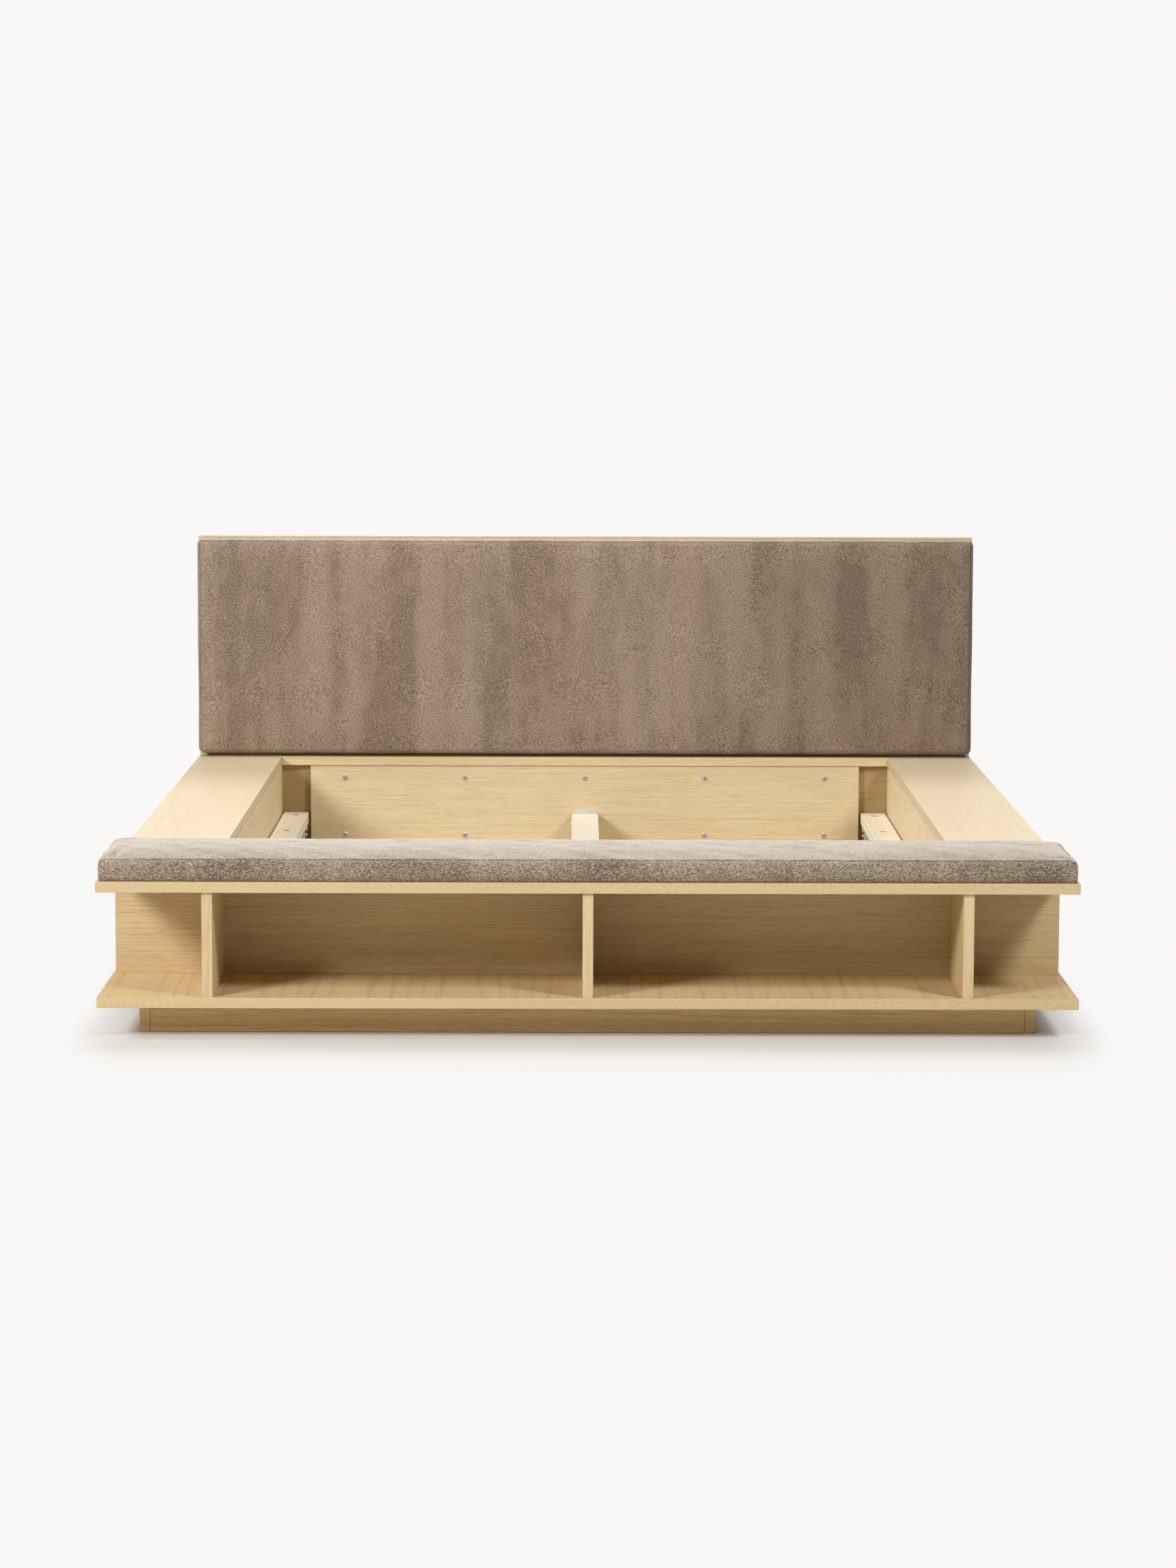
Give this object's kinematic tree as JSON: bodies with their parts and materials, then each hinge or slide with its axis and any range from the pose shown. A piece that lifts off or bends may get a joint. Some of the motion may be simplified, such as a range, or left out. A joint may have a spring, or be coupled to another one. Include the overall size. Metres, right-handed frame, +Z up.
{
  "type": "platform bed with foot bench",
  "caption": "Low oak platform bed with a padded headboard, wide side ledges, and a foot bench with open shelf bays and a loose seat cushion.",
  "frame": {"origin": "middle of the footprint, on the floor", "axes": "+X to the right seen from the foot, +Y from the bench to the headboard, +Z up"},
  "size_m": [2.05, 2.425, 0.913],
  "materials": {
    "oak_veneer": "matt lacquered natural oak veneer",
    "softwood": "planed pale softwood",
    "plywood": "raw plywood",
    "beech": "turned beech",
    "upholstery": "taupe chenille weave",
    "nickel": "nickel plated",
    "zinc": "bright zinc plated",
    "black_plastic": "moulded"
  },
  "bodies": {
    "frame": {"barrel_nuts_left": "zinc", "barrel_nuts_right": "zinc", "base_board_left": "oak_veneer", "base_board_right": "oak_veneer", "beam_shoe_foot": "zinc", "beam_shoe_head": "zinc", "bench_back_panel": "oak_veneer", "bench_divider_centre": "oak_veneer", "bench_divider_left": "oak_veneer", "bench_divider_right": "oak_veneer", "bench_dowels": "beech", "bench_shelf": "oak_veneer", "bench_top": "oak_veneer", "bracket_screws_left": "zinc", "bracket_screws_right": "zinc", "connector_bolts": "nickel", "connector_sleeve_nuts": "nickel", "head_base_board": "oak_veneer", "head_connector_panel": "oak_veneer", "head_end_board": "oak_veneer", "head_ledge": "oak_veneer", "headboard_pad": "upholstery", "headboard_panel": "oak_veneer", "inner_side_left": "oak_veneer", "inner_side_right": "oak_veneer", "outer_side_left": "oak_veneer", "outer_side_right": "oak_veneer", "pad_backing": "plywood", "pad_screws": "zinc", "platform_left": "oak_veneer", "platform_right": "oak_veneer", "plinth_corner_blocks": "softwood", "plinth_front": "oak_veneer", "plinth_rear": "oak_veneer", "plinth_side_left": "oak_veneer", "plinth_side_right": "oak_veneer", "rail_brackets_left": "zinc", "rail_brackets_right": "zinc", "shoe_pins": "zinc", "shoe_screws": "zinc", "side_bolts_left": "nickel", "side_bolts_right": "nickel", "side_dowels_left": "beech", "side_dowels_right": "beech", "side_ribs_left": "softwood", "side_ribs_right": "softwood"},
    "cushion": {"bench_cushion": "upholstery"},
    "left_rail": {"support_rail_left": "softwood", "rail_bolts_left": "zinc", "rail_pins_left": "zinc", "rail_saddles_left": "zinc"},
    "right_rail": {"support_rail_right": "softwood", "rail_bolts_right": "zinc", "rail_pins_right": "zinc", "rail_saddles_right": "zinc"},
    "beam": {"centre_beam": "softwood", "beam_cross_bolts": "zinc", "leg_stud": "zinc", "centre_leg": "beech"},
    "foot": {"levelling_foot": "black_plastic"}
  },
  "joints": [
    {"name": "cushion_lift", "type": "slide", "parent": "frame", "child": "cushion", "axis": [0, 0, 1], "range_m": [0, 0.3]},
    {"name": "left_rail_lift", "type": "slide", "parent": "frame", "child": "left_rail", "axis": [0, 0, 1], "range_m": [0, 0.1]},
    {"name": "right_rail_lift", "type": "slide", "parent": "frame", "child": "right_rail", "axis": [0, 0, 1], "range_m": [0, 0.1]},
    {"name": "beam_lift", "type": "slide", "parent": "frame", "child": "beam", "axis": [0, 0, 1], "range_m": [0, 0.1]},
    {"name": "foot_screw", "type": "slide", "parent": "beam", "child": "foot", "axis": [0, 0, 1], "range_m": [0, 0.01]}
  ]
}
